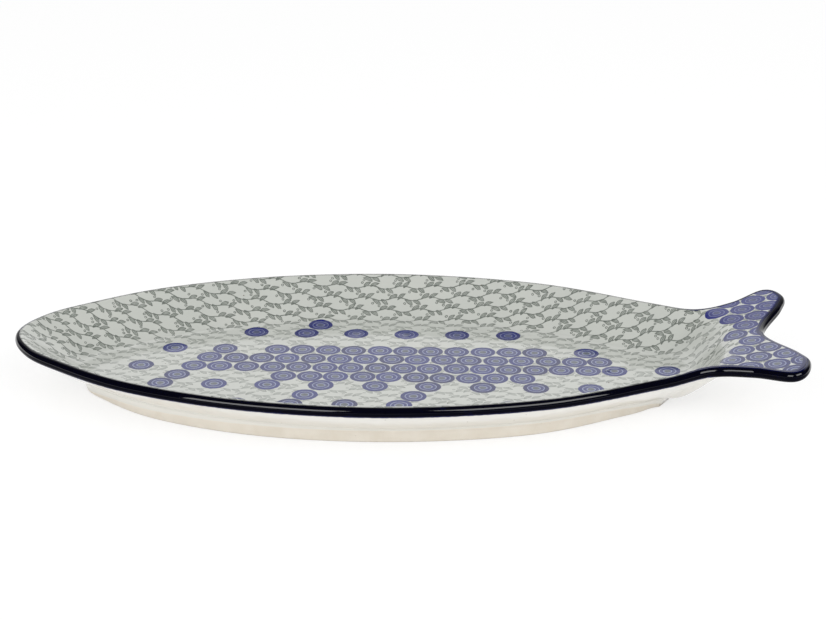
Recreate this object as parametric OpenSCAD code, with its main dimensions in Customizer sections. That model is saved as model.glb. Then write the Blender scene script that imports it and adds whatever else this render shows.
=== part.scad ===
// Fish shaped serving platter in glazed stoneware: a shallow pointed dish with a flat tail fin,
// a rounded lip all round and a foot ring under the dish.
// The nose points along -X, the tail along +X, and the foot stands on Z = 0.

/* [Overall] */
// Length over the lip, from the nose to the tips of the tail
platter_length = 430; // [380:5:480]
// Width over the lip at the widest place of the body
platter_width = 202; // [180:2:226]
// Height of the top of the lip along the body
rim_height = 30; // [26:0.5:34]

/* [Tail] */
// Width over the lip across the two tips of the tail
tail_width = 127; // [114:1:140]
// Width over the lip at the waist, where the tail joins the body
waist_width = 90.5; // [82:0.5:98]
// How much higher the tips of the tail stand than the lip of the body
tail_rise = 8.5; // [0:0.5:12]
// Distance from the notch of the tail to the edge of the well
tail_land = 15.5; // [12:0.5:19]

/* [Section] */
// Thickness of the lip, and of the wall next to it
lip_thickness = 6.2; // [5:0.1:8]
// Thickness of the floor of the well, with its glaze
floor_thickness = 5; // [4:0.1:6.5]
// Fall of the wall along the body for each millimetre inwards
wall_slope = 0.82; // [0.75:0.01:0.95]
// Fall of the wall at the nose for each millimetre inwards
nose_slope = 0.66; // [0.6:0.01:0.75]
// Fall of the wall under the tail for each millimetre inwards
end_slope = 1.2; // [0.95:0.01:1.4]
// Softness of the edge where the tail falls into the well
shoulder_round = 2.5; // [1.5:0.1:4]
// Softness of the cove between wall and floor
cove_round = 3; // [2:0.1:4.5]
// Softness of the same cove under the tail
end_cove = 8; // [5:0.1:10]
// Thickness of the glaze coats
glaze_thickness = 0.5; // [0.3:0.05:0.8]

/* [Foot] */
// Height of the foot ring, which is the depth of the recess inside it
foot_height = 5; // [4.6:0.1:6]
// Width of the foot ring's lower face
foot_width = 7; // [5:0.5:9]
// How far the foot starts in from the edge of the well, under the widest place of the body
foot_inset = 25; // [24:0.5:27]
// How far the outer face of the foot leans in on its way down to the table
foot_draft = 1.5; // [0:0.1:2.5]

/* [Hidden] */

// Half sizes are measured to the centre line of the lip, which is a round bead of this radius
lip_radius = lip_thickness / 2;
half_length = platter_length / 2 - lip_radius;
half_width = platter_width / 2 - lip_radius;
half_tail = tail_width / 2 - lip_radius;
half_waist = waist_width / 2 - lip_radius;
lip_level = rim_height - lip_radius;
floor_half = floor_thickness / 2;
floor_middle = foot_height + floor_half;

// Half of the outline, from the nose to the notch. The first number of a point is a share of
// half_length, and the second is a share of the half width that its table follows.
body_shares = [
    [-1, 0], [-0.964, 0.218], [-0.877, 0.412], [-0.664, 0.722], [-0.355, 0.941],
    [0, 1], [0.361, 0.867], [0.638, 0.582]
];
waist_share = 0.772;
tail_shares = [
    [0.877, 0.786], [0.966, 0.991], [1, 0.809], [0.984, 0.58], [0.918, 0]
];
// How far in the foot starts at each of these points, as shares of foot_inset
foot_shares = [
    1.48, 1.32, 1.13, 0.99, 0.97, 1, 0.99, 1.06, 1.2, 1.215, 1.19, 1.185, 1.16, 1.11
];
samples = 3;

outline_knots = concat(
    [for (p = body_shares) [p.x * half_length, -p.y * half_width]],
    [[waist_share * half_length, -half_waist]],
    [for (p = tail_shares) [p.x * half_length, -p.y * half_tail]]
);

function flip_y(p) = [p.x, -p.y];
function unit(v) = v / norm(v);
function left_of(v) = [-v.y, v.x];

// Smooth curve through four knots, from the second at t = 0 to the third at t = 1
function curve_point(a, b, c, d, t) =
    (2 * b + (c - a) * t + (2 * a - 5 * b + 4 * c - d) * t * t
        + (3 * b - a - 3 * c + d) * t * t * t) / 2;

// One value for each station of the front half, from a function that gives the knots. The
// knots go on past the nose and the notch as a mirror image.
last_knot = len(outline_knots) - 1;
function smooth_row(knot) = [
    for (i = [0 : last_knot - 1], n = [0 : samples - 1])
        curve_point(knot(i - 1), knot(i), knot(i + 1), knot(i + 2), n / samples),
    knot(last_knot)
];

// The centre line of the lip
lip_line = smooth_row(
    function (i)
        i < 0 ? flip_y(outline_knots[-i]) :
        i > last_knot ? flip_y(outline_knots[2 * last_knot - i]) : outline_knots[i]
);
stations = len(lip_line) - 1;
function lip_at(j) =
    j < 0 ? flip_y(lip_line[-j]) :
    j > stations ? flip_y(lip_line[2 * stations - j]) : lip_line[j];

// Plan direction that points out of the platter at each station
outward = [for (j = [0 : stations]) -left_of(unit(lip_at(j + 1) - lip_at(j - 1)))];

// The spine is the line on the floor that all sections run to, square to the lip as far as they
// can be. The nose shares its first point with the station next to it, and the stations past
// the waist share its last point, like the ribs of a fan.
spine_share = 0.74;
spine_end_share = 0.55;
spine_softness_share = 0.09;
function smooth_max(a, b, softness) = (a + b + norm([a - b, softness])) / 2;
function spine_x(x) = -smooth_max(
    -spine_share * x, -spine_end_share * half_length, spine_softness_share * half_length
);
first_rib = 1;
last_rib = len(body_shares) * samples;
function rib_of(j) = min(max(j, first_rib), last_rib);
spine = [for (j = [0 : stations]) [spine_x(lip_line[rib_of(j)].x), 0]];

// The edge of the well. Along the body it lies just outside the centre line of the lip. In the
// tail it is the end of an ellipse, and the flat land of the tail lies between it and the lip.
well_overlap = lip_radius;
well_centre_share = 0.708;
well_centre = [well_centre_share * half_length, 0];
well_end = lip_line[stations].x - tail_land - well_centre.x;
well_spread_share = 1.2;
well_half = well_spread_share * half_waist;
function well_reach(d) = 1 / norm([d.x / well_end, d.y / well_half]);
land = [
    for (p = lip_line)
        p.x < well_centre.x ? -well_overlap :
        max(-well_overlap, norm(p - well_centre) - well_reach(unit(p - well_centre)))
];
well_edge = [
    for (j = [0 : stations]) lip_line[j] + max(0, land[j]) * unit(well_centre - lip_line[j])
];

// Point in plan that lies s inwards of the lip's centre line, along the section of a station
function section_point(j, s) =
    s < land[j] ? lip_line[j] + s * unit(well_centre - lip_line[j]) :
    well_edge[j] + (s - max(0, land[j])) * unit(spine[j] - well_edge[j]);
function section_length(j) = max(0, land[j]) + norm(spine[j] - well_edge[j]);

// The wall is less steep towards the nose, and steeper under the tail, where its cove is wider
nose_turn = [for (d = outward) pow(max(0, -d.x), 2)];
tail_turn = [for (p = lip_line) pow(max(0, unit(p - well_centre).x), 2)];
slopes = [
    for (j = [0 : stations])
        wall_slope + (lip_line[j].x < 0 ? nose_slope - wall_slope : 0) * nose_turn[j]
            + (end_slope - wall_slope) * tail_turn[j]
];
coves = [for (turn = tail_turn) cove_round + (end_cove - cove_round) * turn];
foot_insets = foot_inset * smooth_row(
    function (i) foot_shares[i < 0 ? -i : i > last_knot ? 2 * last_knot - i : i]
);

// Height of the middle of the clay. The wall falls from the edge of the well to the floor.
rise_start_share = 0.63;
function level_at(x) =
    lip_level + tail_rise * pow(max(0, x / half_length - rise_start_share)
        / (1 - rise_start_share), 2);
function fall(j, v) = slopes[j] * smooth_max(v, 0, shoulder_round);
function middle_height(j, s) =
    let (
        level = level_at(section_point(j, s).x),
        wall = level - fall(j, s - land[j]) + fall(j, -land[j]),
        drop_left = max(0, (wall - floor_middle) / (level - floor_middle)),
        softness = coves[j] * max(0, 1 - drop_left * drop_left)
    )
    smooth_max(wall, floor_middle, softness);

// Downward slope of the middle of the clay, going inwards along a section
probe = lip_radius / 10;
function inward_slope(j, s) = (middle_height(j, s) - middle_height(j, s + probe)) / probe;
function half_thickness(j, s) =
    lip_radius + (floor_half - lip_radius) * min(1, max(0, (s - land[j]) / foot_inset));

// Point on the upper (side = 1) or lower (side = -1) face, at a depth below that face
function face_point(j, s, side, depth) =
    let (
        slope = inward_slope(j, s),
        inward = unit(spine[j] - section_point(j, s)),
        reach = side * (half_thickness(j, s) - depth) / norm([1, slope]),
        plan = section_point(j, s) + slope * reach * inward
    )
    [plan.x, plan.y, middle_height(j, s) + reach];

// How far the round of the lip leans inwards at each station, with the wall below it
lip_tilts = [
    for (j = [0 : stations])
        atan(inward_slope(j, 0) * max(0, unit(spine[j] - lip_line[j]) * -outward[j]))
];

// Point on the round of the lip. The turn goes from 0 at the upper face to 180 at the lower one.
function lip_point(j, turn, depth) =
    let (
        angle = turn - lip_tilts[j],
        reach = lip_radius - depth,
        plan = lip_line[j] + reach * sin(angle) * outward[j]
    )
    [plan.x, plan.y, middle_height(j, 0) + reach * cos(angle)];

// A ring goes once round the platter: the front half, then its mirror image
function whole_ring(half) =
    concat(half, [for (j = [stations - 1 : -1 : 1]) [half[j].x, -half[j].y, half[j].z]]);
function face_ring(side, depth, places) =
    whole_ring([for (j = [0 : stations]) face_point(j, places[j], side, depth)]);
function lip_ring(turn, depth) =
    whole_ring([for (j = [0 : stations]) lip_point(j, turn, depth)]);

// How far in each ring of a face lies, for every station. The land rings cross the tail, the
// wall rings go down to a given distance inside the well's edge, and the floor ring follows.
land_shares = [0.34, 0.67, 1];
wall_shares = [0.22, 0.42, 0.58, 0.7, 0.84, 1];
under_shares = [0.3, 0.58, 0.82, 1];
floor_share = 0.5;
floor_starts = [for (inset = foot_insets) inset + 2 * lip_radius];
least_land = lip_radius;
function land_end(j) = max(least_land, land[j]);
function land_places(share) = [for (j = [0 : stations]) share * land_end(j)];
function wall_places(share, insets) =
    [for (j = [0 : stations]) land_end(j) + share * (insets[j] + land[j] - land_end(j))];
function floor_places(share) = [
    for (j = [0 : stations])
        let (start = floor_starts[j] + land[j]) start + share * (section_length(j) - start)
];

// The cobalt band starts on the outer side of the lip's crest, at this angle from the vertical,
// and ends at this turn on the lower side
band_lean_angle = 12;
band_end_angle = 160;
band_steps = 5;
band_starts = [for (tilt = lip_tilts) tilt + band_lean_angle];
function band_rings(depth) = [
    for (i = [0 : band_steps])
        whole_ring([
            for (j = [0 : stations])
                let (start = band_starts[j])
                lip_point(j, start + i * (band_end_angle - start) / band_steps, depth)
        ])
];

function upper_rings(depth) = [
    face_ring(1, depth, floor_places(floor_share)),
    for (i = [len(wall_shares) - 1 : -1 : 0])
        face_ring(1, depth, wall_places(wall_shares[i], floor_starts)),
    for (i = [len(land_shares) - 1 : -1 : 0]) face_ring(1, depth, land_places(land_shares[i])),
    lip_ring(0, depth),
    whole_ring([for (j = [0 : stations]) lip_point(j, band_starts[j] / 2, depth)])
];
function lower_rings(depth) = [
    lip_ring(180, depth),
    for (share = land_shares) face_ring(-1, depth, land_places(share)),
    for (share = under_shares) face_ring(-1, depth, wall_places(share, foot_insets))
];

// The foot starts where the lower glaze ends, and its other rings lie further in at a height
foot_start = face_ring(-1, 0, wall_places(1, foot_insets));
function foot_ring_at(distance, z) = whole_ring([
    for (j = [0 : stations])
        let (
            start = [foot_start[j].x, foot_start[j].y],
            plan = start + distance * unit(spine[j] - start)
        )
        [plan.x, plan.y, z]
]);
recess_edge = foot_ring_at(foot_draft + foot_width, foot_height);

// Points where a face meets the spine, one for each rib
function spine_points(side, depth) = [
    for (j = [first_rib : last_rib])
        let (s = section_length(j), z = middle_height(j, s))
        [spine[j].x, 0, z + side * (half_thickness(j, s) - depth)]
];
function flat_spine(z) = [for (j = [first_rib : last_rib]) [spine[j].x, 0, z]];

// Faces. A strip joins two rings, and swap turns its diagonals over, so that two solids that
// meet share the same triangles.
ring_size = 2 * stations;
function station_of(i) = i > stations ? ring_size - i : i;
function strip(a, b, swap) = [
    for (i = [0 : ring_size - 1])
        let (
            n = (i + 1) % ring_size,
            a0 = a * ring_size + i,
            a1 = a * ring_size + n,
            b0 = b * ring_size + i,
            b1 = b * ring_size + n
        )
        each swap ? [[a0, a1, b0], [a1, b1, b0]] : [[a0, a1, b1], [a0, b1, b0]]
];
// Faces between a ring and a row of spine points. They face up where they start a shell and
// down where they end it.
function spine_faces(ring, first, up) = [
    for (i = [0 : ring_size - 1])
        let (
            n = (i + 1) % ring_size,
            r0 = ring * ring_size + i,
            r1 = ring * ring_size + n,
            s0 = first + rib_of(station_of(i)) - first_rib,
            s1 = first + rib_of(station_of(n)) - first_rib
        )
        each concat(
            s0 == s1 ? [] : [up ? [s0, s1, r0] : [s1, s0, r0]],
            [up ? [s1, r1, r0] : [s1, r0, r1]]
        )
];

// Closed shell from one row of spine points to another. Swaps has one entry for each strip.
module shell(start_spine, rings, end_spine, swaps) {
    count = len(rings);
    corners = concat([for (ring = rings) each ring], start_spine, end_spine);
    spines = count * ring_size;
    polyhedron(
        points = corners,
        faces = concat(
            spine_faces(0, spines, true),
            [for (i = [0 : count - 2]) each strip(i, i + 1, swaps[i])],
            spine_faces(count - 1, spines + len(start_spine), false)
        )
    );
}

// Closed coat with an outer and an inner skin, as a hoop round the platter
module hoop(outer, inner) {
    count = len(outer);
    rings = concat(outer, [for (i = [count - 1 : -1 : 0]) inner[i]]);
    polyhedron(
        points = [for (ring = rings) each ring],
        faces = [
            for (i = [0 : 2 * count - 1]) each strip(i, (i + 1) % (2 * count), i >= count)
        ]
    );
}

// The fired shell: floor, wall, lip and tail, all under its coats of glaze
module clay_body() {
    upper = upper_rings(glaze_thickness);
    lower = lower_rings(glaze_thickness);
    rings = concat(upper, band_rings(glaze_thickness), lower, [foot_start, recess_edge]);
    swapped = len(rings) - 3;
    color("#dccfb8")
        shell(
            spine_points(1, glaze_thickness), rings, flat_spine(foot_height),
            [for (i = [0 : len(rings) - 2]) i == swapped]
        );
}

// The bare ring that stands on the table
module foot_ring() {
    color("#d9cdb9")
        hoop(
            [foot_start, foot_ring_at(foot_draft, 0)],
            [recess_edge, foot_ring_at(foot_draft + foot_width, 0)]
        );
}

// The decorated coat of the well and of the tail's upper face
module inner_glaze() {
    outer = concat(upper_rings(0), [band_rings(0)[0]]);
    inner = concat(upper_rings(glaze_thickness), [band_rings(glaze_thickness)[0]]);
    count = len(outer);
    color("#aeb4cc")
        shell(
            spine_points(1, 0),
            concat(outer, [for (i = [count - 1 : -1 : 0]) inner[i]]),
            spine_points(1, glaze_thickness),
            [for (i = [0 : 2 * count - 2]) i >= count]
        );
}

// The cobalt band on the lip
module rim_band() {
    color("#0b0d33") hoop(band_rings(0), band_rings(glaze_thickness));
}

// The cream coat on the outside of the wall and under the tail
module outer_glaze() {
    color("#efe9dc")
        hoop(
            concat([band_rings(0)[band_steps]], lower_rings(0)),
            concat([band_rings(glaze_thickness)[band_steps]], lower_rings(glaze_thickness))
        );
}

// The coat in the recess inside the foot
module base_glaze() {
    color("#ece6d8")
        translate([0, 0, foot_height - glaze_thickness])
            linear_extrude(glaze_thickness) polygon([for (p = recess_edge) [p.x, p.y]]);
}

clay_body();
foot_ring();
inner_glaze();
rim_band();
outer_glaze();
base_glaze();
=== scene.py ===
"""Looks of the fish shaped platter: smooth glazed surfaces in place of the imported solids, a small
studio and the camera."""

import math

import bpy
import numpy as np
from mathutils import Matrix, Vector


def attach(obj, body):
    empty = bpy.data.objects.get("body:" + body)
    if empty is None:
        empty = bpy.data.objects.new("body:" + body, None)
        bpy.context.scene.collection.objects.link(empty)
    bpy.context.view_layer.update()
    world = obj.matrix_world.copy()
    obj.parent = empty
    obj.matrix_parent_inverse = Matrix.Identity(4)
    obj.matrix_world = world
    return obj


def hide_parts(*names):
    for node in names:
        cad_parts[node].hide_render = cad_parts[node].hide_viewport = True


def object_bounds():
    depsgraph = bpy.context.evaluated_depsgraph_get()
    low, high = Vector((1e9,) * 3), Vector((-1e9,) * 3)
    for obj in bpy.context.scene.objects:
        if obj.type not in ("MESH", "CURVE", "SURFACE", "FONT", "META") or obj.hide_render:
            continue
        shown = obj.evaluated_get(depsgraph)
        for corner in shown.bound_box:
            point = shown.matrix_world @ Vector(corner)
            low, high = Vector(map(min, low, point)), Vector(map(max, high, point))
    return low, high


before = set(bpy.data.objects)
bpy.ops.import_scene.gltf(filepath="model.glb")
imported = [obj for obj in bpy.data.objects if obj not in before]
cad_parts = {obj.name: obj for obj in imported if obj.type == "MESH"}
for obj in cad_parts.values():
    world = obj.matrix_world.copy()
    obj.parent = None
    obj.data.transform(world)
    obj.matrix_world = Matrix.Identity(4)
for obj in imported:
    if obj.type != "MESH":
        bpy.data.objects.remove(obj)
cad_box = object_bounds()

# One millimetre in metres
MM = 0.001

# Sizes of the platter in millimetres, as in the part's source
PLATTER_LENGTH, PLATTER_WIDTH, RIM_HEIGHT = 430, 202, 30
TAIL_WIDTH, WAIST_WIDTH, TAIL_RISE, TAIL_LAND = 127, 90.5, 8.5, 15.5
LIP_THICKNESS, FLOOR_THICKNESS, GLAZE_THICKNESS = 6.2, 5, 0.5
WALL_SLOPE, NOSE_SLOPE, END_SLOPE = 0.82, 0.66, 1.2
SHOULDER_ROUND, COVE_ROUND, END_COVE = 2.5, 3, 8
FOOT_HEIGHT, FOOT_WIDTH, FOOT_INSET, FOOT_DRAFT = 5, 7, 25, 1.5

# Half sizes are measured to the centre line of the lip, which is a round bead of this radius
LIP_RADIUS = LIP_THICKNESS / 2
HALF_LENGTH = PLATTER_LENGTH / 2 - LIP_RADIUS
HALF_WIDTH = PLATTER_WIDTH / 2 - LIP_RADIUS
HALF_TAIL = TAIL_WIDTH / 2 - LIP_RADIUS
HALF_WAIST = WAIST_WIDTH / 2 - LIP_RADIUS
LIP_LEVEL = RIM_HEIGHT - LIP_RADIUS
FLOOR_HALF = FLOOR_THICKNESS / 2
FLOOR_MIDDLE = FOOT_HEIGHT + FLOOR_HALF

# Half of the outline from nose to notch, as shares of the half sizes, and the foot's inset at
# each of these points, as a share of its inset amidships
BODY_SHARES = [
    (-1, 0), (-0.964, 0.218), (-0.877, 0.412), (-0.664, 0.722), (-0.355, 0.941),
    (0, 1), (0.361, 0.867), (0.638, 0.582),
]
WAIST_SHARE = 0.772
TAIL_SHARES = [(0.877, 0.786), (0.966, 0.991), (1, 0.809), (0.984, 0.58), (0.918, 0)]
FOOT_SHARES = [1.48, 1.32, 1.13, 0.99, 0.97, 1, 0.99, 1.06, 1.2, 1.215, 1.19, 1.185, 1.16, 1.11]

# Shares for the spine, the well and the rise of the tail, and where the cobalt band starts and
# ends in degrees round the lip, the start counted from straight up
SPINE_SHARE, SPINE_END_SHARE, SPINE_SOFTNESS_SHARE = 0.74, 0.55, 0.09
WELL_CENTRE_SHARE, WELL_SPREAD_SHARE, RISE_START_SHARE = 0.708, 1.2, 0.63
BAND_LEAN, BAND_END = 12, 160

# Stations from one point of the outline to the next, here and in the part's source. The first rib
# is the source's first station past the nose.
SAMPLES, PART_SAMPLES = 12, 3
FIRST_RIB = SAMPLES // PART_SAMPLES


def unit(v):
    """Each row of v at length 1."""
    return v / np.maximum(np.linalg.norm(v, axis=-1, keepdims=True), 1e-9)


def smooth_max(a, b, softness):
    return (a + b + np.hypot(a - b, softness)) / 2


def smooth_row(knots, flip):
    """One row for each station of the front half. The knots go on at both ends as a mirror image."""
    k = np.vstack([knots[1] * flip, knots, knots[-2] * flip])
    rows = []
    for a, b, c, d in zip(k, k[1:], k[2:], k[3:]):
        for t in np.arange(SAMPLES) / SAMPLES:
            rows.append(
                (2 * b + (c - a) * t + (2 * a - 5 * b + 4 * c - d) * t * t
                 + (3 * b - a - 3 * c + d) * t ** 3) / 2
            )
    return np.vstack(rows + [knots[-1]])


def lip_line():
    """Centre line of the lip for the front half, and the outward direction at each of its points."""
    knots = [(x * HALF_LENGTH, -y * HALF_WIDTH) for x, y in BODY_SHARES]
    knots.append((WAIST_SHARE * HALF_LENGTH, -HALF_WAIST))
    knots += [(x * HALF_LENGTH, -y * HALF_TAIL) for x, y in TAIL_SHARES]
    flip = np.array([1, -1])
    line = smooth_row(np.array(knots), flip)
    round_trip = np.vstack([line[1] * flip, line, line[-2] * flip])
    along = unit(round_trip[2:] - round_trip[:-2])
    return line, np.stack([along[:, 1], -along[:, 0]], axis=1)


LIP, OUTWARD = lip_line()
STATIONS = len(LIP) - 1
WAIST_STATION = len(BODY_SHARES) * SAMPLES
ZERO = np.zeros(STATIONS + 1)

# The spine that all sections run to, and where the well begins on each of them
RIB = np.clip(np.arange(STATIONS + 1), FIRST_RIB, WAIST_STATION)
SPINE = np.zeros_like(LIP)
SPINE[:, 0] = -smooth_max(
    -SPINE_SHARE * LIP[RIB, 0], -SPINE_END_SHARE * HALF_LENGTH, SPINE_SOFTNESS_SHARE * HALF_LENGTH
)
WELL_OVERLAP = LIP_RADIUS
WELL_CENTRE = np.array([WELL_CENTRE_SHARE * HALF_LENGTH, 0])
WELL_HALF = WELL_SPREAD_SHARE * HALF_WAIST
WELL_END = LIP[-1, 0] - TAIL_LAND - WELL_CENTRE[0]
FROM_CENTRE = LIP - WELL_CENTRE
WELL_REACH = 1 / np.linalg.norm(unit(FROM_CENTRE) / [WELL_END, WELL_HALF], axis=1)
LAND = np.where(
    LIP[:, 0] < WELL_CENTRE[0],
    -WELL_OVERLAP,
    np.maximum(-WELL_OVERLAP, np.linalg.norm(FROM_CENTRE, axis=1) - WELL_REACH),
)
TO_CENTRE = unit(-FROM_CENTRE)
WELL_EDGE = LIP + np.maximum(0, LAND)[:, None] * TO_CENTRE
TO_SPINE = unit(SPINE - WELL_EDGE)
SECTION_LENGTH = np.maximum(0, LAND) + np.linalg.norm(SPINE - WELL_EDGE, axis=1)

# The wall is less steep towards the nose, and steeper under the tail, where its cove is wider
NOSE_TURN = np.maximum(0, -OUTWARD[:, 0]) ** 2
TAIL_TURN = np.maximum(0, unit(FROM_CENTRE)[:, 0]) ** 2
SLOPES = (
    WALL_SLOPE
    + np.where(LIP[:, 0] < 0, NOSE_SLOPE - WALL_SLOPE, 0) * NOSE_TURN
    + (END_SLOPE - WALL_SLOPE) * TAIL_TURN
)
COVES = COVE_ROUND + (END_COVE - COVE_ROUND) * TAIL_TURN
FOOT_INSETS = FOOT_INSET * smooth_row(np.array(FOOT_SHARES)[:, None], 1)[:, 0]


def plan_at(s):
    """Plan points that lie s inwards of the lip's centre line, one for each station."""
    on_land = LIP + s[:, None] * TO_CENTRE
    in_well = WELL_EDGE + (s - np.maximum(0, LAND))[:, None] * TO_SPINE
    return np.where((s < LAND)[:, None], on_land, in_well)


def fall(v):
    """How far the wall falls over a way v inwards, with a soft shoulder at the start."""
    return SLOPES * smooth_max(v, 0, SHOULDER_ROUND)


def middle_height(s):
    """Height of the middle of the clay."""
    x = plan_at(s)[:, 0]
    rise = np.maximum(0, x / HALF_LENGTH - RISE_START_SHARE) / (1 - RISE_START_SHARE)
    level = LIP_LEVEL + TAIL_RISE * rise ** 2
    wall = level - fall(s - LAND) + fall(-LAND)
    drop_left = np.maximum(0, (wall - FLOOR_MIDDLE) / (level - FLOOR_MIDDLE))
    return smooth_max(wall, FLOOR_MIDDLE, COVES * np.maximum(0, 1 - drop_left ** 2))


PROBE = LIP_RADIUS / 10


def inward_slope(s):
    """Downward slope of the middle of the clay, going inwards."""
    return (middle_height(s) - middle_height(s + PROBE)) / PROBE


def face_ring(s, side, depth):
    """Points of the upper (side 1) or lower (side -1) face, at a depth below that face."""
    slope = inward_slope(s)
    inward = unit(SPINE - plan_at(s))
    half = LIP_RADIUS + (FLOOR_HALF - LIP_RADIUS) * np.clip((s - LAND) / FOOT_INSET, 0, 1)
    reach = side * (half - depth) / np.hypot(1, slope)
    plan = plan_at(s) + (slope * reach)[:, None] * inward
    return np.column_stack([plan, middle_height(s) + reach])


# How far in degrees the round of the lip leans inwards, and where on it the cobalt band starts
LIP_TILT = np.degrees(np.arctan(
    inward_slope(ZERO) * np.maximum(0, (unit(SPINE - LIP) * -OUTWARD).sum(axis=1))
))
BAND_START = LIP_TILT + BAND_LEAN


def lip_ring(turn, depth):
    """Points on the round of the lip, from turn 0 at the upper face to 180 at the lower one."""
    angle = np.radians(turn - LIP_TILT)
    reach = LIP_RADIUS - depth
    plan = LIP + (reach * np.sin(angle))[:, None] * OUTWARD
    return np.column_stack([plan, middle_height(ZERO) + reach * np.cos(angle)])


def places_to(start, end, count):
    """Rows of places after start and up to end, in even steps."""
    return [start + share * (end - start) for share in np.linspace(0, 1, count + 1)[1:]]


def turns_between(start, end, count):
    """Turns round the lip from start to end, both included, in even steps."""
    return [start + (end - start) * i / count for i in range(count + 1)]


LAND_END = np.maximum(LIP_RADIUS, LAND)
FLOOR_START = FOOT_INSETS + 2 * LIP_RADIUS + LAND
NEAR_SPINE_SHARE = 0.97
LAND_STEPS, WALL_STEPS, FLOOR_STEPS, UNDER_STEPS = 12, 30, 10, 24
LIP_STEPS, BAND_STEPS, UNDERLIP_STEPS = 6, 18, 3
UPPER_PLACES = (
    places_to(ZERO, LAND_END, LAND_STEPS)
    + places_to(LAND_END, FLOOR_START, WALL_STEPS)
    + places_to(FLOOR_START, SECTION_LENGTH * NEAR_SPINE_SHARE, FLOOR_STEPS)
)
LOWER_PLACES = (
    places_to(ZERO, LAND_END, LAND_STEPS)
    + places_to(LAND_END, FOOT_INSETS + LAND, UNDER_STEPS)
)


def upper_rings(depth):
    """Rings of the upper face from the spine out to the edge of the cobalt band."""
    rings = [face_ring(s, 1, depth) for s in reversed(UPPER_PLACES)]
    return rings + [lip_ring(turn, depth) for turn in turns_between(0, BAND_START, LIP_STEPS)]


def rim_rings(depth):
    """Rings of the cobalt band, from its upper edge to its lower one."""
    return [lip_ring(turn, depth) for turn in turns_between(BAND_START, BAND_END, BAND_STEPS)]


def lower_rings(depth):
    """Rings of the lower face from the edge of the cobalt band in to the foot."""
    rings = [lip_ring(turn, depth) for turn in turns_between(BAND_END, 180, UNDERLIP_STEPS)]
    return rings + [face_ring(s, -1, depth) for s in LOWER_PLACES]


# The foot's start on the wall, the round of its two lower edges, the height over which its face
# leans, and the reach of its hollow, which doubles from one place to another towards the tail
FOOT_START = face_ring(FOOT_INSETS + LAND, -1, 0)
FOOT_EDGE, FOOT_EDGE_STEPS, FOOT_RISE = 1.1, 5, 8
FOOT_HOLLOW, HOLLOW_GROWTH_START, HOLLOW_GROWTH_END = 2.4, 100, 140


def foot_at(distance, z):
    """Points of the foot that lie inwards of its start, at a height."""
    start = FOOT_START[:, :2]
    plan = start + (ZERO + distance)[:, None] * unit(SPINE - start)
    return np.column_stack([plan, ZERO + z])


def foot_hollow():
    """The soft hollow that leads from the wall into the outer face of the foot."""
    growth = (FOOT_START[:, 0] - HOLLOW_GROWTH_START) / (HOLLOW_GROWTH_END - HOLLOW_GROWTH_START)
    hollow = FOOT_HOLLOW * (1 + np.clip(growth, 0, 1))
    wall = face_ring(FOOT_INSETS + LAND - hollow, -1, 0)
    level = FOOT_START[:, 2] - hollow
    face = foot_at(FOOT_DRAFT * (1 - level / FOOT_RISE), level)
    shares = np.linspace(0, 1, FOOT_EDGE_STEPS + 1)
    return [(1 - t) ** 2 * wall + 2 * t * (1 - t) * FOOT_START + t ** 2 * face for t in shares]


def foot_rings():
    """The foot from its start on the wall, round its two soft edges, to the recess inside."""
    turns = np.radians(np.linspace(0, 90, FOOT_EDGE_STEPS + 1))
    ends = [(FOOT_EDGE * (1 - math.cos(t)), FOOT_EDGE * (1 - math.sin(t))) for t in turns]
    outer = [foot_at(FOOT_DRAFT + inward - FOOT_DRAFT * z / FOOT_RISE, z) for inward, z in ends]
    inner = [foot_at(FOOT_DRAFT + FOOT_WIDTH - inward, z) for inward, z in ends[::-1]]
    return foot_hollow() + outer + inner + [foot_at(FOOT_DRAFT + FOOT_WIDTH, FOOT_HEIGHT)]


def recess_rings(depth):
    """The flat face of the recess, from the foot's inner edge to the spine."""
    edge = foot_at(FOOT_DRAFT + FOOT_WIDTH, FOOT_HEIGHT - depth)
    middle = edge[:, :2] + NEAR_SPINE_SHARE * (SPINE - edge[:, :2])
    return [edge, np.column_stack([middle, ZERO + FOOT_HEIGHT - depth])]


def whole(half):
    """A ring goes once round the platter: the front half, then its mirror image."""
    mirrored = half[-2:0:-1] * ([1, -1, 1] if half.shape[1] == 3 else [1, -1])
    return np.vstack([half, mirrored])


def coat(outer, inner):
    """Whole rings of the outer skin, then of the inner one backwards."""
    return [whole(ring) for ring in outer + inner[::-1]]


def strips(count, hoop):
    """Quads between neighbouring rings, and in a hoop from the last ring to the first."""
    size = 2 * STATIONS
    i = np.arange(size)
    n = (i + 1) % size
    faces = []
    for ring in range(count if hoop else count - 1):
        a, b = ring * size, (ring + 1) % count * size
        faces += np.column_stack([a + i, b + i, b + n, a + n]).tolist()
    return faces


def bridge(first, flip):
    """Quads across the spine, from the front half of a ring to its mirror image."""
    size = 2 * STATIONS
    faces = []
    for j in range(STATIONS):
        front, front_next = first + j, first + j + 1
        rear, rear_next = first + (size - j) % size, first + size - j - 1
        face = list(dict.fromkeys([front, front_next, rear_next, rear]))
        faces.append(face[::-1] if flip else face)
    return faces


def add_mesh(name, rings, hoop):
    """A closed, smooth shaded piece from rings of points in millimetres. It is a hoop round the
    platter, or else its first and last ring are closed across the spine."""
    faces = strips(len(rings), hoop)
    if not hoop:
        faces += bridge(0, False) + bridge((len(rings) - 1) * 2 * STATIONS, True)
    mesh = bpy.data.meshes.new(name)
    mesh.from_pydata((np.vstack(rings) * MM).tolist(), [], faces)
    mesh.validate()
    mesh.shade_smooth()
    piece = bpy.data.objects.new(name, mesh)
    bpy.context.scene.collection.objects.link(piece)
    return piece


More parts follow.
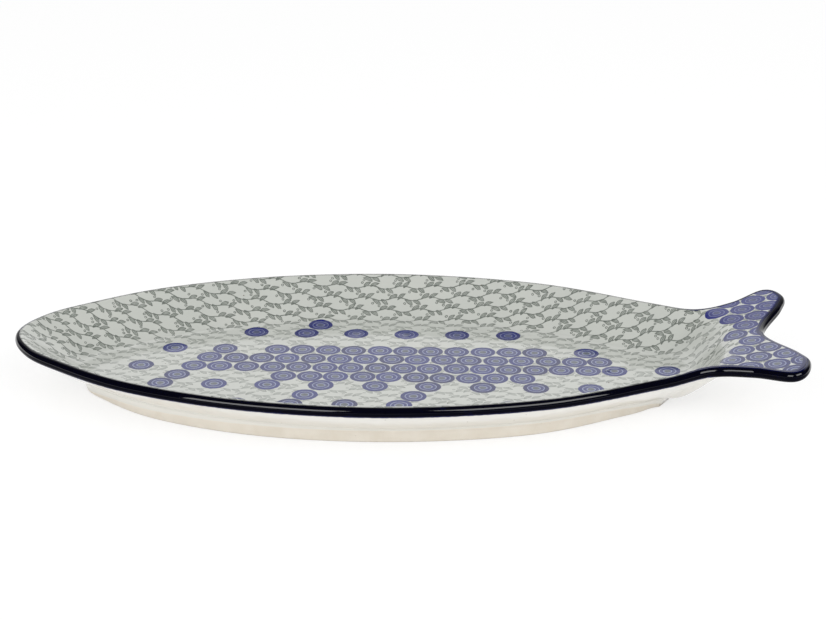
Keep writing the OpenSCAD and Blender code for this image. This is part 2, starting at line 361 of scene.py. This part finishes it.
def write_values(piece, name, rows):
    """Stores one vector for each point of a coat. The rows are given for one skin, ring by ring."""
    values = np.vstack([whole(row) for row in rows + rows[::-1]])
    layer = piece.data.attributes.new(name, "FLOAT_VECTOR", "POINT")
    layer.data.foreach_set("vector", values.astype(np.float32).ravel())


def unrolled(rings):
    """Where each point of a face would lie if the wall were laid flat, and how far it is from the
    cobalt band, in millimetres. The rings run from the spine to the band."""
    points = np.array(rings)
    steps = np.diff(points, axis=0)
    along = np.vstack([ZERO, np.cumsum(np.linalg.norm(steps, axis=2), axis=0)])
    across = np.vstack([ZERO, np.cumsum(np.linalg.norm(steps[:, :, :2], axis=2), axis=0)])
    plan = points[:, :, :2] + (along - across)[:, :, None] * unit(points[:, :, :2] - SPINE)
    return list(np.concatenate([plan, (along[-1] - along)[:, :, None]], axis=2))


def band_values():
    """How far across the band each of its points lies, from 0 to 1, its place along the platter
    in millimetres, and how far in degrees it faces away from straight up."""
    shares = np.linspace(0, 1, BAND_STEPS + 1)
    leans = [BAND_START + share * (BAND_END - BAND_START) - LIP_TILT for share in shares]
    return [np.column_stack([ZERO + share, LIP[:, 0], lean]) for share, lean in zip(shares, leans)]


def make_pieces():
    """All pieces of the platter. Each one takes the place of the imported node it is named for."""
    upper, upper_clay = upper_rings(0), upper_rings(GLAZE_THICKNESS)
    lower, lower_clay = lower_rings(0), lower_rings(GLAZE_THICKNESS)
    rim, rim_clay = rim_rings(0), rim_rings(GLAZE_THICKNESS)
    well = add_mesh("well_glaze", coat(upper, upper_clay), hoop=False)
    write_values(well, "plan_mm", unrolled(upper))
    band = add_mesh("lip_band", coat(rim, rim_clay), hoop=True)
    write_values(band, "across_band", band_values())
    outside = add_mesh("outside_glaze", coat(lower, lower_clay), hoop=True)
    write_values(outside, "plan_mm", unrolled(lower[::-1])[::-1])
    clay = upper_clay + rim_clay[1:-1] + lower_clay + [FOOT_START] + recess_rings(0)
    recess = recess_rings(0)[::-1] + recess_rings(GLAZE_THICKNESS)
    return {
        "inner_glaze": well,
        "rim_band": band,
        "outer_glaze": outside,
        "clay_body": add_mesh("clay_shell", [whole(ring) for ring in clay], hoop=False),
        "foot_ring": add_mesh("foot", [whole(ring) for ring in foot_rings()], hoop=True),
        "base_glaze": add_mesh("recess_glaze", [whole(ring) for ring in recess], hoop=False),
    }


def fit_in_box(pieces, box):
    """Scales all pieces together, so that the smooth curves stay inside the box of the solids."""
    points = np.array([vertex.co for piece in pieces for vertex in piece.data.vertices])
    low, high = np.array(box)
    scale = np.minimum(1, high / points.max(axis=0))
    scale[:2] = np.minimum(scale[:2], low[:2] / points.min(axis=0)[:2])
    for piece in pieces:
        piece.data.transform(Matrix.Diagonal((*scale, 1)))


class Term:
    """A number that shader nodes make. Arithmetic on terms adds the nodes that work it out."""

    def __init__(self, tree, socket):
        self.tree, self.socket = tree, socket

    def work(self, operation, *others):
        node = self.tree.nodes.new("ShaderNodeMath")
        node.operation = operation
        for place, term in zip(node.inputs, (self, *others)):
            feed(self.tree, place, term)
        return Term(self.tree, node.outputs[0])

    def __add__(self, other):
        return self.work("ADD", other)

    def __sub__(self, other):
        return self.work("SUBTRACT", other)

    def __mul__(self, other):
        return self.work("MULTIPLY", other)

    def __truediv__(self, other):
        return self.work("DIVIDE", other)

    def __abs__(self):
        return self.work("ABSOLUTE")

    def turned(self):
        """1 less this number."""
        return self * -1 + 1

    def larger(self, other):
        return self.work("MAXIMUM", other)


def feed(tree, place, term):
    """Gives a node's input a term, a socket, or a plain number or colour."""
    if isinstance(term, Term):
        tree.links.new(term.socket, place)
    elif isinstance(term, bpy.types.NodeSocket):
        tree.links.new(term, place)
    elif isinstance(term, tuple) and len(place.default_value) == 4:
        place.default_value = (*term, 1)
    else:
        place.default_value = term


def new_node(tree, kind, settings=(), **inputs):
    """A node with its settings, and its inputs by name, with _ for a space."""
    node = tree.nodes.new("ShaderNode" + kind)
    for key, value in dict(settings).items():
        setattr(node, key, value)
    for key, value in inputs.items():
        feed(tree, node.inputs[key.replace("_", " ")], value)
    return node


def below(value, edge, soft):
    """1 where the value lies under the edge and 0 over it, with a soft change between."""
    half = soft / 2
    node = new_node(
        value.tree, "MapRange", {"interpolation_type": "SMOOTHSTEP"}, Value=value,
        From_Min=edge - half, From_Max=edge + half, To_Min=1.0, To_Max=0.0,
    )
    return Term(value.tree, node.outputs["Result"])


def above(value, edge, soft):
    return below(value, edge, soft).turned()


def between(value, start, end, soft):
    return below(value, end, soft) * above(value, start, soft)


# Sockets of the mix node that belong to colours
MIX_AMOUNT, MIX_UNDER, MIX_OVER, MIX_RESULT = 0, 6, 7, 2


def over(tree, under, colour, amount):
    """A colour painted over another one, by an amount from 0 to 1."""
    node = tree.nodes.new("ShaderNodeMix")
    node.data_type = "RGBA"
    feed(tree, node.inputs[MIX_AMOUNT], amount)
    feed(tree, node.inputs[MIX_UNDER], under)
    feed(tree, node.inputs[MIX_OVER], colour)
    return node.outputs[MIX_RESULT]


def noise(tree, vector, size, detail=2.0):
    """Soft noise around 0, from about -0.5 to 0.5, with features of a size in millimetres."""
    node = new_node(tree, "TexNoise", Vector=vector, Scale=1 / size, Detail=detail)
    return Term(tree, node.outputs[0]) - 0.5


def parts(tree, vector):
    node = new_node(tree, "SeparateXYZ", Vector=vector)
    return [Term(tree, output) for output in node.outputs]


def joined(tree, *terms):
    node = tree.nodes.new("ShaderNodeCombineXYZ")
    for place, term in zip(node.inputs, terms):
        feed(tree, place, term)
    return node.outputs[0]


def own_place(tree):
    """Place of a point on the object, in millimetres."""
    place = tree.nodes.new("ShaderNodeTexCoord").outputs["Object"]
    node = new_node(tree, "VectorMath", {"operation": "SCALE"}, Vector=place, Scale=1 / MM)
    return node.outputs[0]


def stored(tree, name):
    return new_node(tree, "Attribute", {"attribute_name": name}).outputs["Vector"]


def chances(tree, column, row, seed):
    """Three numbers from 0 to 1 that differ from cell to cell."""
    node = new_node(tree, "TexWhiteNoise", Vector=joined(tree, column, row, seed))
    return parts(tree, node.outputs["Color"])


def length_of(u, v):
    return (u * u + v * v).work("SQRT")


def is_odd(count):
    """1 for an odd whole number and 0 for an even one."""
    return count.work("FLOORED_MODULO", 2.0)


def srgb(*levels):
    """Linear colour from the eight-bit values that a picture shows."""
    return tuple(v / 255 / 12.92 if v <= 10 else ((v / 255 + 0.055) / 1.055) ** 2.4 for v in levels)


# Colours of the stamps, the glazes and the clay
CREAM, CREAM_SHADE = srgb(204, 206, 200), srgb(193, 196, 190)
LEAF_LINE, LEAF_FILL = srgb(101, 107, 101), srgb(147, 152, 145)
COBALT, MID_COBALT, PALE_COBALT = srgb(10, 17, 76), srgb(36, 46, 120), srgb(150, 158, 190)
# The first colour below is a deep cobalt used only as painted shade on dots
SHADE_PAINTED_COBALT, GREY_GREEN = srgb(2, 10, 112), srgb(82, 88, 94)
BAND_COBALT, THIN_COBALT = srgb(1, 1, 13), srgb(12, 20, 80)
CREAM_GLAZE, WARM_GLAZE, PALE_GLAZE = srgb(240, 238, 231), srgb(229, 225, 215), srgb(243, 242, 238)
# The foot's clay below is the fired clay painted lighter: painted light that stands in for light
# bounced up from the table
FIRED_CLAY, FOOT_CLAY_PAINTED_LIGHT, WARM_CLAY = srgb(232, 225, 212), srgb(242, 236, 225), srgb(221, 211, 194)
WORN_CLAY, CLAY_SPECK = srgb(176, 164, 146), srgb(150, 134, 112)
DARK_SPECK, BROWN_SPECK = srgb(96, 84, 70), srgb(120, 98, 74)

# Size and strength of the noise that makes all stamped edges uneven, in millimetres
WOBBLE_SIZE, WOBBLE = 2.2, 0.7

# The vines, in millimetres: distance between pairs of leaves and between rows, longest shift of
# a row, height of the stem's waves and half the stem's width
VINE_PITCH, VINE_SHIFT, STEM_WAVE, STEM_HALF = (9.6, 7.9), 60, 1.1, 0.33
ROW_SEED, LEAF_SEED, WOBBLE_SEED = 5.0, 6.0, 7.0
# Half sizes of a leaf, how far off the stem it lies and its bend. Each leaf of a pair has its
# place along the stem and the side it grows to.
LEAF_HALF_LENGTH, LEAF_HALF_WIDTH, LEAF_OFFSET, LEAF_BEND = 2.9, 1.25, 2.1, 0.06
LEAF_PAIR = [(-2.6, 1), (2.5, -1)]
BERRY_PLACE, BERRY_RADII = (-0.3, 3), (0.35, 0.85)

# The stamped dots: pitch of one of their two lattices, jitter, outer radius, a distance that is
# out of reach of any dot, and the radius and paint of each ring inside a dot
DOT_PITCH, DOT_JITTER, DOT_RADIUS, OUT_OF_REACH = (14.6, 25.4), 0.7, 7.05, 50
DOT_RINGS = [(4.75, "pale"), (4.25, "cobalt"), (2.5, "pale"), (2.0, "grey")]
# Each lattice has its shift, its seed and the share of its sparse places that have a dot
DOT_LATTICES = [((0, 0), 3.0, 0.97), ((DOT_PITCH[0] / 2, DOT_PITCH[1] / 2), 4.0, 0.14)]

# Where dots lie: a dense lens along the middle, a wider one with sparse dots, and the tail from
# a line that lies a little further in on its lobes
DENSE_MIDDLE, DENSE_HALF = (0, 7), (138, 29)
SPARSE_MIDDLE, SPARSE_HALF = (-8, 0), (158, 76)
TAIL_START, LOBE_START, LOBE_LEAD = 183, 24, 3


def inside_lens(u, v, middle, half):
    """1 between two parabolas that meet at both ends, given by their middle and half sizes."""
    share = (u - middle[0]) / half[0]
    return below(abs(v - middle[1]) - (share * share * -half[1] + half[1]), 0, 0.5)


def dot_amounts(tree, u, v, shift, seed, share):
    """Distance from the nearest dot's middle in one lattice, out of reach where there is no dot,
    and a number that differs from dot to dot."""
    column = ((u - shift[0]) / DOT_PITCH[0]).work("ROUND")
    row = ((v - shift[1]) / DOT_PITCH[1]).work("ROUND")
    middle_u, middle_v = column * DOT_PITCH[0] + shift[0], row * DOT_PITCH[1] + shift[1]
    chance = chances(tree, column, row, seed)
    jitter_u, jitter_v = (chance[0] - 0.5) * DOT_JITTER, (chance[1] - 0.5) * DOT_JITTER
    r = length_of(u - middle_u - jitter_u, v - middle_v - jitter_v)
    dense = inside_lens(middle_u, middle_v, DENSE_MIDDLE, DENSE_HALF)
    on_lobe = above(abs(middle_v), LOBE_START, 2)
    tail = above(middle_u + on_lobe * LOBE_LEAD, TAIL_START, 1)
    picked = below(is_odd(column + row), 0.5, 0.1) * below(chance[1], share, 0.01)
    sparse = inside_lens(middle_u, middle_v, SPARSE_MIDDLE, SPARSE_HALF) * picked
    there = dense.larger(tail).larger(sparse)
    return r + there.turned() * OUT_OF_REACH, chance[2]


def leaf(u, v, angle, half_length):
    """A bent leaf around the point where u and v are 0: amounts of fill and of line."""
    cosine, sine = angle.work("COSINE"), angle.work("SINE")
    along, side = u * cosine + v * sine, v * cosine - u * sine
    share = along / half_length
    bent = side + along * along * LEAF_BEND
    edge = abs(bent) / LEAF_HALF_WIDTH + share * share
    vein = below(abs(bent), 0.15, 0.15) * below(abs(share), 0.8, 0.1)
    return below(edge, 0.92, 0.2), between(edge, 0.6, 1.0, 0.26).larger(vein)


def vines(tree, u, v):
    """Rows of waving stems with a leaf on either side in turn: amounts of fill and of line."""
    row = (v / VINE_PITCH[1]).work("ROUND")
    run = u + chances(tree, row, 0.0, ROW_SEED)[0] * VINE_SHIFT
    column = (run / VINE_PITCH[0]).work("ROUND")
    du, dv = run - column * VINE_PITCH[0], v - row * VINE_PITCH[1]
    side = is_odd(column) * 2 - 1
    chance = chances(tree, column, row, LEAF_SEED)
    wave = (run * (math.pi / VINE_PITCH[0])).work("SINE") * STEM_WAVE
    stem = below(abs(dv - wave), STEM_HALF, 0.26)
    half_length = chance[0] * 0.8 + LEAF_HALF_LENGTH
    leaves = [
        leaf(du - place, dv - side * way * LEAF_OFFSET, side * (lean * 0.5 + 0.35) * way, half_length)
        for (place, way), lean in zip(LEAF_PAIR, chance[1:])
    ]
    fills, lines = zip(*leaves)
    berry = length_of(du - BERRY_PLACE[0], dv + side * BERRY_PLACE[1])
    rim = between(berry, *BERRY_RADII, 0.3)
    return fills[0].larger(fills[1]), stem.larger(lines[0]).larger(lines[1]).larger(rim)


def new_material(name):
    """A material with its node tree and its shader."""
    material = bpy.data.materials.new(name)
    material.use_nodes = True
    return material, material.node_tree, material.node_tree.nodes["Principled BSDF"]


def glazed(name, roughness, ior=1.5, wave=0.12, wave_size=9.0):
    """A glossy material with the soft waves of a fired glaze, their height and size in millimetres."""
    material, tree, shader = new_material(name)
    shader.inputs["IOR"].default_value = ior
    place = own_place(tree)
    waves = noise(tree, place, wave_size, 1.0) + noise(tree, place, 0.9, 1.0) * 0.05
    bump = new_node(tree, "Bump", Strength=1.0, Distance=wave * MM, Height=waves)
    feed(tree, shader.inputs["Normal"], bump.outputs[0])
    feed(tree, shader.inputs["Roughness"], noise(tree, place, 14, 3.0) * 0.04 + roughness)
    return material, tree, shader, place


def specks(tree, place, size, share):
    """Small specks in a share of the cells of a size in millimetres."""
    node = new_node(tree, "TexVoronoi", Vector=place, Scale=1 / size)
    chance = parts(tree, node.outputs["Color"])[0]
    near = Term(tree, node.outputs["Distance"])
    return below(near, chance * 0.05 + 0.06, 0.06) * below(chance, share, 0.01)


# The wall ends at about this distance from the band, and the vines are painted fainter on the floor as
# a painted reflection, keeping this share of their strength
FLOOR_FROM_BAND, PAINTED_WASH_SHARE = 36, 0.6
# Where the tail begins along the platter, and how much further the cobalt of the band runs over
# the glaze there. Where the rear lobe and the rear wall begin, on which the dots get painted shade.
TAIL_ALONG, TAIL_SPREAD = 160, 2.6
LOBE_ALONG, LOBE_ACROSS, REAR_WALL_ACROSS = 168, 8, 42
# How much painted shade darkens the cobalt of their dots, from 0 to 1
LOBE_PAINTED_SHADE, REAR_WALL_PAINTED_SHADE = 0.45, 0.42


def leafy_ground(tree, u, v, from_band, plan, mottle):
    """Cream with vines stamped on it, painted fainter on the floor as a painted reflection."""
    colour = over(tree, CREAM, CREAM_SHADE, noise(tree, plan, 45.0) + 0.5)
    fill, line = vines(tree, u, v)
    # Painted reflection: on the floor the vines fade to a share of their strength
    strength = below(from_band, FLOOR_FROM_BAND, 16) * (1 - PAINTED_WASH_SHARE) + PAINTED_WASH_SHARE
    colour = over(tree, colour, LEAF_FILL, fill * (mottle * 0.8 + 0.75) * strength)
    return over(tree, colour, LEAF_LINE, line * (mottle * 0.9 + 0.85) * strength)


def stamped_dots(tree, u, v, rear_lobe, mottle):
    """Colour of the dots, and how far they cover the ground."""
    (r_a, chance_a), (r_b, chance_b) = [dot_amounts(tree, u, v, *row) for row in DOT_LATTICES]
    nearer = r_a.work("LESS_THAN", r_b)
    r = r_a.work("MINIMUM", r_b)
    chance = chance_a * nearer + chance_b * nearer.turned()
    dot = over(tree, COBALT, MID_COBALT, chance * 0.7 + mottle * 0.9 + 0.2)
    paints = {
        "pale": PALE_COBALT,
        "cobalt": over(tree, COBALT, MID_COBALT, mottle * 1.4 + 0.55),
        "grey": GREY_GREEN,
    }
    for radius, paint in DOT_RINGS:
        dot = over(tree, dot, paints[paint], below(r, radius, 0.35) * (mottle * 0.3 + 0.9))
    # Painted shade: dots along the rear wall and on the rear lobe are darkened towards a deep cobalt
    rear_wall = above(v, REAR_WALL_ACROSS, 6) * below(u, TAIL_ALONG, 20)
    painted_shade = rear_lobe * LOBE_PAINTED_SHADE + rear_wall * REAR_WALL_PAINTED_SHADE
    dot = over(tree, dot, SHADE_PAINTED_COBALT, painted_shade)
    return dot, below(r, DOT_RADIUS, 0.4) * (mottle * 0.25 + 0.98)


def decorated_glaze():
    """Cream ground with small grey-green leaves, and cobalt dots stamped in rows over them. The
    cobalt of the dots is darkened with painted shade along the rear wall and on the rear lobe of the
    tail, which shines less."""
    material, tree, shader, place = glazed("decorated_glaze", roughness=0.06, ior=1.58)
    plan = stored(tree, "plan_mm")
    u, v, from_band = parts(tree, plan)
    along = noise(tree, place, WOBBLE_SIZE) * WOBBLE
    across = noise(tree, joined(tree, v, u, WOBBLE_SEED), WOBBLE_SIZE) * WOBBLE
    u, v = u + along, v + across
    mottle = noise(tree, plan, 3.0, 3.0)
    rear_lobe = above(u, LOBE_ALONG, 16) * above(v, LOBE_ACROSS, 36)
    colour = leafy_ground(tree, u, v, from_band, plan, mottle)
    colour = over(tree, colour, *stamped_dots(tree, u, v, rear_lobe, mottle))

    spread = above(u, TAIL_ALONG, 30) * TAIL_SPREAD + noise(tree, place, 4.0) * 1.5 - 0.4
    colour = over(tree, colour, THIN_COBALT, below(from_band, spread, 0.7))
    washed = above(v, 10, 60) * 0.8 + noise(tree, place, 6.0) * 0.5 + 0.5
    colour = over(tree, colour, BAND_COBALT, below(from_band, washed, 0.6) * 0.6)
    colour = over(tree, colour, DARK_SPECK, specks(tree, place, 7.0, 0.12))
    feed(tree, shader.inputs["Base Color"], colour)
    dulling = below(from_band, 3, 1.5) * 0.16 + 0.3
    feed(tree, shader.inputs["Specular IOR Level"], rear_lobe * dulling * -1 + 0.5)
    return material


# The band shines where it leans less than this from straight up, in degrees. Where it leans less
# than the second value it is dull on the notch and the nose, which begin at these places.
SHINE_LEAN, DULL_LEAN = 76, 50
NOTCH_ALONG, NOTCH_ACROSS, NOSE_ALONG = 192, -52, -196
SHINE_GAIN, LEAST_SHINE = 0.8, 0.04


def cobalt_glaze():
    """Nearly black cobalt, bluer where the glaze runs thin at the edges of the band."""
    material, tree, shader, place = glazed("cobalt_glaze", roughness=0.05, wave=0.06, wave_size=6.0)
    across, x, lean = parts(tree, stored(tree, "across_band"))
    y = parts(tree, place)[1]
    notch = above(x, NOTCH_ALONG, 14) * above(y, NOTCH_ACROSS, 12)
    dull = (notch + below(x, NOSE_ALONG, 16)) * below(lean, DULL_LEAN, 14)
    shine = below(lean, SHINE_LEAN, 14) * dull.turned() * SHINE_GAIN + LEAST_SHINE
    feed(tree, shader.inputs["Specular IOR Level"], shine)
    mottle = noise(tree, place, 5.0, 3.0)
    thin_top = below(across + mottle * 0.12, 0.1, 0.16) * above(x, 150, 60)
    thin = thin_top.larger(above(across + mottle * 0.1, 0.93, 0.12))
    colour = over(tree, BAND_COBALT, THIN_COBALT, thin * 0.8 + (mottle - 0.12).larger(0.0))
    feed(tree, shader.inputs["Base Color"], colour)
    return material


def cream_glaze(name, banded):
    """Clear glaze on cream clay, with a few specks. Cobalt from the band runs a little over it."""
    material, tree, shader, place = glazed(name, roughness=0.08)
    colour = over(tree, CREAM_GLAZE, WARM_GLAZE, noise(tree, place, 30.0) + 0.35)
    colour = over(tree, colour, PALE_GLAZE, noise(tree, place, 11.0) * 0.6 + 0.3)
    colour = over(tree, colour, BROWN_SPECK, specks(tree, place, 6.0, 0.18))
    if banded:
        from_band = parts(tree, stored(tree, "plan_mm"))[2]
        edge = noise(tree, place, 3.5) * 1.1 + 0.45
        colour = over(tree, colour, THIN_COBALT, below(from_band, edge, 0.6))
    feed(tree, shader.inputs["Base Color"], colour)
    return material


# Height of the glaze line near the middle of the foot, its slope towards the tail, and how far it
# drops at the ends, softly at first and then steeply
LINE_HEIGHT, LINE_SLOPE = 7.7, 0.007
LINE_MIDDLE, LINE_HALF_LENGTH, SOFT_DROP, STEEP_DROP = -20, 158, 2, 4


def glaze_line(tree, place, x):
    """Height down to which the glaze of the wall runs on the foot."""
    share = (x - LINE_MIDDLE) / LINE_HALF_LENGTH
    end = share * share
    drop = end * SOFT_DROP + end * end * end * end * STEEP_DROP
    return x * LINE_SLOPE - drop + LINE_HEIGHT + noise(tree, place, 8.0) * 0.5


def bare_clay(name, shade, dipped):
    """Matt fired clay with fine grain and darker specks. On a dipped foot the glaze of the wall runs
    down to a line that lies lower towards the nose and the tail."""
    material, tree, shader = new_material(name)
    place = own_place(tree)
    x, _, z = parts(tree, place)
    grain = noise(tree, place, 0.5, 3.0)
    colour = over(tree, shade, WARM_CLAY, noise(tree, place, 9.0, 3.0) * 0.9 + 0.35)
    colour = over(tree, colour, CLAY_SPECK, specks(tree, place, 2.2, 0.3) * 0.7)
    colour = over(tree, colour, WORN_CLAY, below(z + grain * 0.6, 0.5, 0.7) * 0.6)
    roughness, relief = grain * 0.2 + 0.62, grain
    if dipped:
        bare = below(z, glaze_line(tree, place, x), 0.8)
        colour = over(tree, CREAM_GLAZE, colour, bare)
        roughness, relief = roughness * bare + bare.turned() * 0.1, grain * bare
    feed(tree, shader.inputs["Base Color"], colour)
    feed(tree, shader.inputs["Roughness"], roughness)
    bump = new_node(tree, "Bump", Strength=1.0, Distance=0.08 * MM, Height=relief)
    feed(tree, shader.inputs["Normal"], bump.outputs[0])
    return material


pieces = make_pieces()
fit_in_box(pieces.values(), cad_box)
FINISH = {
    "inner_glaze": decorated_glaze(),
    "rim_band": cobalt_glaze(),
    "outer_glaze": cream_glaze("cream_glaze", banded=True),
    "clay_body": bare_clay("fired_clay", FIRED_CLAY, dipped=False),
    # The foot uses the fired clay painted lighter, painted light for the bounce from the table
    "foot_ring": bare_clay("bare_foot", FOOT_CLAY_PAINTED_LIGHT, dipped=True),
    "base_glaze": cream_glaze("recess_cream_glaze", banded=False),
}
for node, piece in pieces.items():
    piece.data.materials.append(FINISH[node])
    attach(piece, "root")
    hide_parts(node)


def aim(thing, place, target):
    """Puts a camera or lamp in the scene, turned towards a target."""
    bpy.context.scene.collection.objects.link(thing)
    thing.location = place
    thing.rotation_mode = "QUATERNION"
    thing.rotation_quaternion = (Vector(target) - Vector(place)).to_track_quat("-Z", "Y")


# Camera as in the photograph, in metres, with its lens and sensor in millimetres
CAMERA_PLACE, CAMERA_TARGET = (0.0410, -0.9539, 0.4111), (0.0053, 0.0002, 0.0447)
CAMERA_LENS, CAMERA_SENSOR = 81.4, 36
camera_data = bpy.data.cameras.new("camera")
camera_data.sensor_width = CAMERA_SENSOR
camera_data.lens = CAMERA_LENS
camera = bpy.data.objects.new("camera", camera_data)
aim(camera, CAMERA_PLACE, CAMERA_TARGET)
bpy.context.scene.camera = camera


def ray_kinds(tree):
    """1 for rays that the camera sees by, also in reflections and through glass, and 1 for those
    of reflections alone."""
    path = tree.nodes.new("ShaderNodeLightPath")
    names = ("Is Camera Ray", "Is Glossy Ray", "Is Transmission Ray")
    straight, mirrored, through = [Term(tree, path.outputs[name]) for name in names]
    return straight.larger(mirrored).larger(through), mirrored


# Half size of the floor in metres, how much of its look is plain white and how bright that is
FLOOR_HALF_SIZE, FLOOR_GLOW, FLOOR_WHITE = 8, 0.62, 1.085
FLOOR_SHADE, FLOOR_ROUGHNESS = 0.95, 0.9


def white_floor():
    """Pale floor that shows as white and keeps a light shadow."""
    material, tree, shader = new_material("floor_white")
    shader.inputs["Base Color"].default_value = (FLOOR_SHADE, FLOOR_SHADE, FLOOR_SHADE, 1)
    shader.inputs["Roughness"].default_value = FLOOR_ROUGHNESS
    shader.inputs["Specular IOR Level"].default_value = 0.0
    glow = new_node(tree, "Emission", Strength=FLOOR_WHITE)
    seen, _ = ray_kinds(tree)
    mix = tree.nodes.new("ShaderNodeMixShader")
    for socket, term in zip(mix.inputs, (seen * FLOOR_GLOW, shader.outputs[0], glow.outputs[0])):
        feed(tree, socket, term)
    feed(tree, tree.nodes["Material Output"].inputs["Surface"], mix.outputs[0])
    return material


def add_floor():
    """A wide square at table height."""
    corners = [(-1, -1), (1, -1), (1, 1), (-1, 1)]
    points = [(x * FLOOR_HALF_SIZE, y * FLOOR_HALF_SIZE, 0) for x, y in corners]
    mesh = bpy.data.meshes.new("floor")
    mesh.from_pydata(points, [], [range(4)])
    mesh.materials.append(white_floor())
    floor = bpy.data.objects.new("floor", mesh)
    bpy.context.scene.collection.objects.link(floor)


# Strength of the fill light, and the part of the room that reflects as white: it begins behind
# the platter, a little to the right, and ends at the sides and the top. Places are directions.
FILL_LIGHT = 0.79
BACKDROP_START, BACKDROP_SKEW, BACKDROP_SIDE, BACKDROP_TOP = 0.3, 0.25, 0.64, 0.64


def studio_world():
    """White room for the camera. Its ceiling and the side behind the camera reflect darkly, like
    an unlit studio, and the soft fill light is even."""
    world = bpy.data.worlds.new("studio")
    world.use_nodes = True
    tree = world.node_tree
    x, y, z = parts(tree, tree.nodes.new("ShaderNodeTexCoord").outputs["Generated"])
    behind = above(y + x * BACKDROP_SKEW, BACKDROP_START, 0.5)
    backdrop = behind * below(abs(x), BACKDROP_SIDE, 0.25) * below(z, BACKDROP_TOP, 0.3)
    seen, mirrored = ray_kinds(tree)
    shown = mirrored.turned() + mirrored * (backdrop * 0.97 + 0.02)
    strength = seen * shown + seen.turned() * FILL_LIGHT
    feed(tree, tree.nodes["Background"].inputs["Strength"], strength)
    tree.nodes["Background"].inputs["Color"].default_value = (1, 1, 1, 1)
    return world


# Two softboxes in front, one on each side of the camera: direction and height above the table,
# both in degrees, and size in metres
SOFTBOXES = {"left_softbox": (-29, 29, 1.25, 0.9), "right_softbox": (39, 39, 1.5, 0.9)}
SOFTBOX_DISTANCE, SOFTBOX_GLOW, SOFTBOX_TARGET = 2.2, 2.5, (0, 0, 0.02)


def add_softbox(name, azimuth, height, width, depth):
    """A lamp that shines at the platter from a direction, as bright for each square metre as the
    other ones."""
    lamp = bpy.data.lights.new(name, "AREA")
    lamp.shape = "RECTANGLE"
    lamp.size, lamp.size_y = width, depth
    lamp.energy = SOFTBOX_GLOW * math.pi * width * depth
    turn, lift = math.radians(azimuth), math.radians(height)
    level = math.cos(lift)
    direction = Vector((math.sin(turn) * level, -math.cos(turn) * level, math.sin(lift)))
    aim(bpy.data.objects.new(name, lamp), direction * SOFTBOX_DISTANCE, SOFTBOX_TARGET)


add_floor()
bpy.context.scene.world = studio_world()
for name, sizes in SOFTBOXES.items():
    add_softbox(name, *sizes)

bpy.context.scene.view_settings.view_transform = "Standard"
